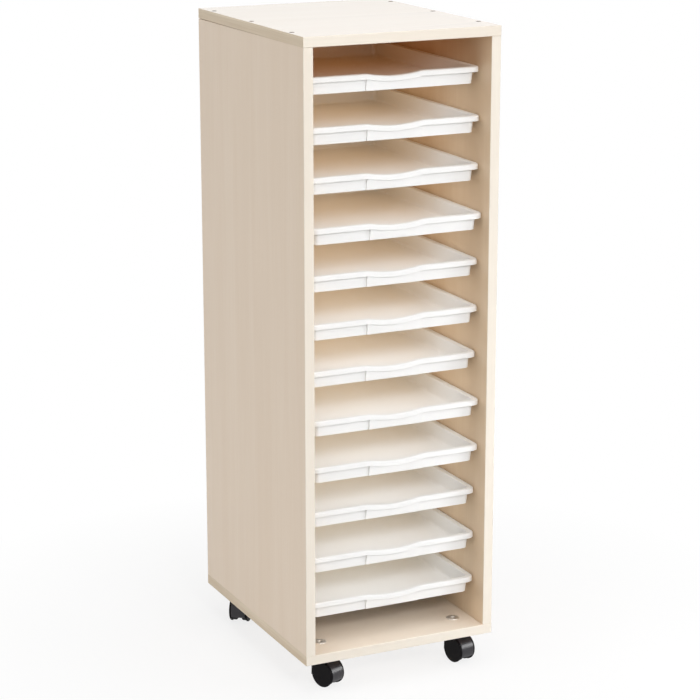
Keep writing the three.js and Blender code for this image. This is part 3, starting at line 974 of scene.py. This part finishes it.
def castor_hood():
    """A fender over both wheels, a web between them, stub axles, and the boss that turns on the stem."""
    axle = Vector((0, -CASTOR_TRAIL, WHEEL_RADIUS))
    hood = bar("black_hood", HOOD_RADIUS, 2 * HOOD_HALF_WIDTH, axle, WHEEL_SIDES)
    sill = axle - Vector((0, 0, HOOD_SILL))
    slope = Vector((0, HOOD_SILL - HOOD_BACK_SILL, -HOOD_BACK))
    with editing(hood):
        for down in (Vector((0, 0, -1)), slope):
            bpy.ops.mesh.select_all(action="SELECT")
            bpy.ops.mesh.bisect(plane_co=sill, plane_no=down, use_fill=True, clear_outer=True)
    for corner in hood.data.vertices:
        rise = corner.co.z - axle.z
        if corner.co.y > axle.y + HOOD_CORNER and rise < HOOD_CORNER:
            corner.co.y = axle.y + hood_back(rise)
    round_arrises(hood, HOOD_ROUND, segments=ROUND_SEGMENTS, least_degrees=60)
    boss = turned("boss", [(BOSS_RADIUS, axle.z), (BOSS_RADIUS, BOSS_TOP)])
    combine(hood, boss, "UNION")
    reach = HOOD_HALF_WIDTH
    for side in (-1, 1):
        centre = axle + Vector((side * (WEB_HALF_WIDTH + reach / 2), 0, 0))
        combine(hood, bar("pocket", HOOD_INNER, reach, centre, WHEEL_SIDES), "DIFFERENCE")
    bore = turned(
        "bore",
        [
            (PIVOT_RADIUS + RUNNING_GAP, PIVOT_BOTTOM - RUNNING_GAP),
            (PIVOT_RADIUS + RUNNING_GAP, BOSS_TOP + RUNNING_GAP),
        ],
    )
    combine(hood, bore, "DIFFERENCE")
    axles = bar("axles", AXLE_RADIUS, 2 * (WEB_HALF_WIDTH + AXLE_REACH), axle)
    combine(hood, axles, "UNION")
    round_arrises(hood, HOOD_ARRIS, least_degrees=45)
    shade(hood)
    return hood


def castor_wheel():
    """A flanged wheel about Z with its outer face at the top, and a blind bore for its stub axle."""
    bore = AXLE_RADIUS + RUNNING_GAP
    end = WEB_HALF_WIDTH + AXLE_REACH + RUNNING_GAP
    edge = WHEEL_EDGE
    flange = WHEEL_OUTER - WHEEL_FLANGE
    wheel = turned(
        "black_wheel",
        [
            (bore * WHEEL_BORE_TIP, end),
            (bore, end),
            (bore, WHEEL_INNER),
            (WHEEL_TREAD - 1.2 * edge, WHEEL_INNER),
            (WHEEL_TREAD - 0.3 * edge, WHEEL_INNER + 0.3 * edge),
            (WHEEL_TREAD, WHEEL_INNER + edge),
            (WHEEL_TREAD, flange - 2 * WHEEL_BREAK),
            (WHEEL_RADIUS - 3 * WHEEL_BREAK, flange + WHEEL_BREAK),
            (WHEEL_RADIUS, flange + 5 * WHEEL_BREAK),
            (WHEEL_RADIUS, WHEEL_OUTER - edge),
            (WHEEL_RADIUS - 0.15 * edge, WHEEL_OUTER - 0.5 * edge),
            (WHEEL_RADIUS - 0.5 * edge, WHEEL_OUTER - 0.15 * edge),
            (WHEEL_RADIUS - edge, WHEEL_OUTER),
            (bore * WHEEL_BORE_TIP, WHEEL_OUTER),
        ],
        WHEEL_SIDES,
    )
    shade(wheel)
    return wheel


def castor_place(name):
    """The castor's own frame from its joints: its stem on the floor, its wheels trailing towards -Y."""
    joints = {joint["name"]: joint for joint in frame["joints"]}
    stem = joints[f"castor_{name}_swivel"]["pos_m"]
    axle = joints[f"castor_{name}_left_wheel_spin"]["axis"]
    swivel = math.atan2(axle[1], axle[0])
    return Matrix.Translation((stem[0], stem[1], 0)) @ Matrix.Rotation(swivel, 4, "Z")


def castors():
    """Four castors, each a stem on the cabinet, a hood that swivels and two wheels that spin."""
    stem = castor_stem()
    hood = castor_hood()
    wheel = castor_wheel()
    at_axle = Matrix.Translation((0, -CASTOR_TRAIL, WHEEL_RADIUS))
    for name in CASTORS:
        place = castor_place(name)
        piece = copy_of(stem, f"steel_stem_{name}", place)
        settle(piece, "cabinet", [steel], [f"castor_stem_{name}"])
        piece = copy_of(hood, f"black_hood_{name}", place)
        settle(piece, f"castor_{name}_swivel_body", [hood_black], [f"castor_hood_{name}"])
        for hand, side in (("left", -1), ("right", 1)):
            outwards = Matrix.Rotation(side * math.pi / 2, 4, "Y")
            piece = copy_of(wheel, f"black_wheel_{hand}_{name}", place @ at_axle @ outwards)
            body = f"castor_{name}_{hand}_wheel_body"
            settle(piece, body, [wheel_black], [f"castor_wheel_{hand}_{name}"])
    for master in (stem, hood, wheel):
        bpy.data.objects.remove(master)


# Studio

CAMERA_PLACE = (-1.7365, -3.658, 1.641)
CAMERA_AZIMUTH = math.radians(25.51)
CAMERA_DROP = math.radians(14.97)
CAMERA_LENS = 118.1
CAMERA_SENSOR = 36

# Background and floor: between its two reaches from the middle, the floor passes into white
WHITE = (1, 1, 1, 1)
FLOOR_COLOUR = (0.93, 0.93, 0.93, 1)
FLOOR_SIZE = 30.0
FLOOR_DROP = 0.3 * MM
SHADOW_REACH = 0.3
WHITE_REACH = 0.9
WHITE_SHARE = 0.8
AMBIENT = 0.3

# Soft boxes: degrees to the right of the front, degrees up, metres away, width and height, and watts
SOFT_BOXES = {
    "front_box": (-2, 26, 3.4, (1.3, 0.5), 38),
    "high_box": (-10, 50, 3.0, (1.6, 1.6), 12),
    "right_box": (40, 14, 3.2, (1.2, 1.2), 5),
    "low_strip": (51, 0, 1.1, (0.2, 0.36), 2.3),
    "top_box": (0, 84, 2.6, (2.0, 2.0), 24),
    "left_fill": (-96, 3, 3.2, (2.0, 2.0), 22),
    "back_fill": (165, 0, 3.2, (1.0, 1.0), 20),
}
AIMED_LOW = {"low_strip": 0.3}

# Lamps of the bays: metres behind the front of the tray below, watts, and tones from the top bay down
BAY_LAMP_WIDTH = 0.29
BAY_LAMP_DROP = 1 * MM
BAY_FRONT = (0.05, 0.13)
BAY_DEPTH = (0.14, 0.38)
FRONT_POWER = 0.07
FRONT_COLOUR = (0.97, 0.985, 1)
FLOOR_POWER = 0.042
FLOOR_FRONT = (-0.035, 0.005)
DEEP_POWER = 0.104
END_BAY_LOSS = 0.25
UPPER_DEEP_COLOUR = Vector((1, 0.61, 0.28))
LOWER_DEEP_COLOUR = Vector((1, 0.84, 0.6))
TOP_BAY_POWER = 0.053
TOP_BAY_COLOUR = (1, 0.38, 0.08)


def shown_share(tree):
    """1 for the rays that show the background: straight from the camera, mirrored or through glass."""
    path = tree.nodes.new("ShaderNodeLightPath")
    share = path.outputs["Is Camera Ray"]
    for ray in ("Is Glossy Ray", "Is Transmission Ray"):
        node = add_node(tree, "ShaderNodeMath", {"operation": "MAXIMUM"}, i0=share, i1=path.outputs[ray])
        share = node.outputs[0]
    return share


def studio_world():
    """White where it shows, and a soft even light everywhere else."""
    world = bpy.data.worlds.new("studio")
    world.use_nodes = True
    bpy.context.scene.world = world
    tree = world.node_tree
    light = tree.nodes["Background"]
    light.inputs["Strength"].default_value = AMBIENT
    light.inputs["Color"].default_value = WHITE
    white = add_node(tree, "ShaderNodeBackground", Color=WHITE, Strength=1.0)
    mix = add_node(
        tree, "ShaderNodeMixShader", i0=shown_share(tree), i1=light.outputs[0], i2=white.outputs[0]
    )
    tree.links.new(mix.outputs[0], tree.nodes["World Output"].inputs["Surface"])


def studio_floor():
    """A white floor that takes the shadow near the object and passes into the white background."""
    bpy.ops.object.select_all(action="DESELECT")
    bpy.ops.mesh.primitive_plane_add(size=FLOOR_SIZE, location=(0, 0, -FLOOR_DROP))
    floor = new_piece("studio_floor")
    material, tree, shader, place = new_material(
        "floor_white", Base_Color=FLOOR_COLOUR, Roughness=0.9, Specular_IOR_Level=0.0
    )
    reach = add_node(tree, "ShaderNodeVectorMath", {"operation": "LENGTH"}, i0=place)
    far = spread(tree, reach.outputs["Value"], SHADOW_REACH, WHITE_REACH, WHITE_SHARE, 1)
    shown = add_node(tree, "ShaderNodeMath", {"operation": "MULTIPLY"}, i0=far, i1=shown_share(tree))
    white = add_node(tree, "ShaderNodeEmission", Color=WHITE, Strength=1.0)
    mix = add_node(
        tree, "ShaderNodeMixShader", i0=shown.outputs[0], i1=shader.outputs[0], i2=white.outputs[0]
    )
    tree.links.new(mix.outputs[0], tree.nodes["Material Output"].inputs["Surface"])
    floor.data.materials.append(material)


def area_lamp(name, width, height, power):
    """A rectangular lamp that the camera doesn't see."""
    lamp = bpy.data.lights.new(name, "AREA")
    lamp.shape = "RECTANGLE"
    lamp.size = width
    lamp.size_y = height
    lamp.energy = power
    holder = bpy.data.objects.new(name, lamp)
    holder.visible_camera = False
    bpy.context.scene.collection.objects.link(holder)
    return holder


def soft_lights():
    """Soft boxes around the object, aimed at its middle or, where named, lower."""
    for name, (azimuth, elevation, distance, size, power) in SOFT_BOXES.items():
        turn, rise = math.radians(azimuth), math.radians(elevation)
        level = math.cos(rise)
        way = Vector((math.sin(turn) * level, -math.cos(turn) * level, math.sin(rise)))
        target = Vector((0, 0, AIMED_LOW.get(name, cad_box[1].z / 2)))
        box = area_lamp(name, *size, power)
        box.location = target + way * distance
        box.rotation_euler = way.to_track_quat("Z", "Y").to_euler()


def bay_lamp(name, roof, front, span, power, colour):
    """A flat lamp just under the roof of a bay, over a span of depths from its front."""
    flat = area_lamp(name, BAY_LAMP_WIDTH, span[1] - span[0], power)
    flat.data.color = colour
    flat.location = (0, front + sum(span) / 2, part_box(roof)[0].z - BAY_LAMP_DROP)
    flat.visible_glossy = False


def bay_lights():
    """The light that white trays and maple pass to and fro in each bay: white in front and warm behind."""
    trays = [f"tray_{number:02d}" for number in range(1, TRAY_COUNT + 1)]
    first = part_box(trays[0])[0].y
    bay_lamp("top_bay", "top_panel", first, (BAY_FRONT[0], BAY_DEPTH[1]), TOP_BAY_POWER, TOP_BAY_COLOUR)
    for number, (roof, tray) in enumerate(zip(trays, trays[1:])):
        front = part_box(tray)[0].y
        share = number / (TRAY_COUNT - 2)
        strength = 1 - END_BAY_LOSS * abs(2 * share - 1)
        deep_colour = UPPER_DEEP_COLOUR.lerp(LOWER_DEEP_COLOUR, share)
        bay_lamp(f"front_of_{tray}", roof, front, BAY_FRONT, strength * FRONT_POWER, FRONT_COLOUR)
        bay_lamp(f"depth_of_{tray}", roof, front, BAY_DEPTH, strength * DEEP_POWER, deep_colour)
    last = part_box(trays[-1])[0].y
    bay_lamp("front_of_floor", trays[-1], last, FLOOR_FRONT, FLOOR_POWER, FRONT_COLOUR)


def studio_camera():
    """A camera at the photo's viewing angle."""
    lens = bpy.data.cameras.new("photo_view")
    lens.lens = CAMERA_LENS
    lens.sensor_width = CAMERA_SENSOR
    camera = bpy.data.objects.new("photo_view", lens)
    level = math.cos(CAMERA_DROP)
    sight = Vector((
        math.sin(CAMERA_AZIMUTH) * level,
        math.cos(CAMERA_AZIMUTH) * level,
        -math.sin(CAMERA_DROP),
    ))
    camera.location = CAMERA_PLACE
    camera.rotation_euler = sight.to_track_quat("-Z", "Y").to_euler()
    bpy.context.scene.collection.objects.link(camera)
    bpy.context.scene.camera = camera


cabinet_boards()
board_screws()
white_trays()
runner_strips()
castors()

studio_world()
studio_floor()
soft_lights()
bay_lights()
studio_camera()
bpy.context.scene.view_settings.view_transform = "Standard"
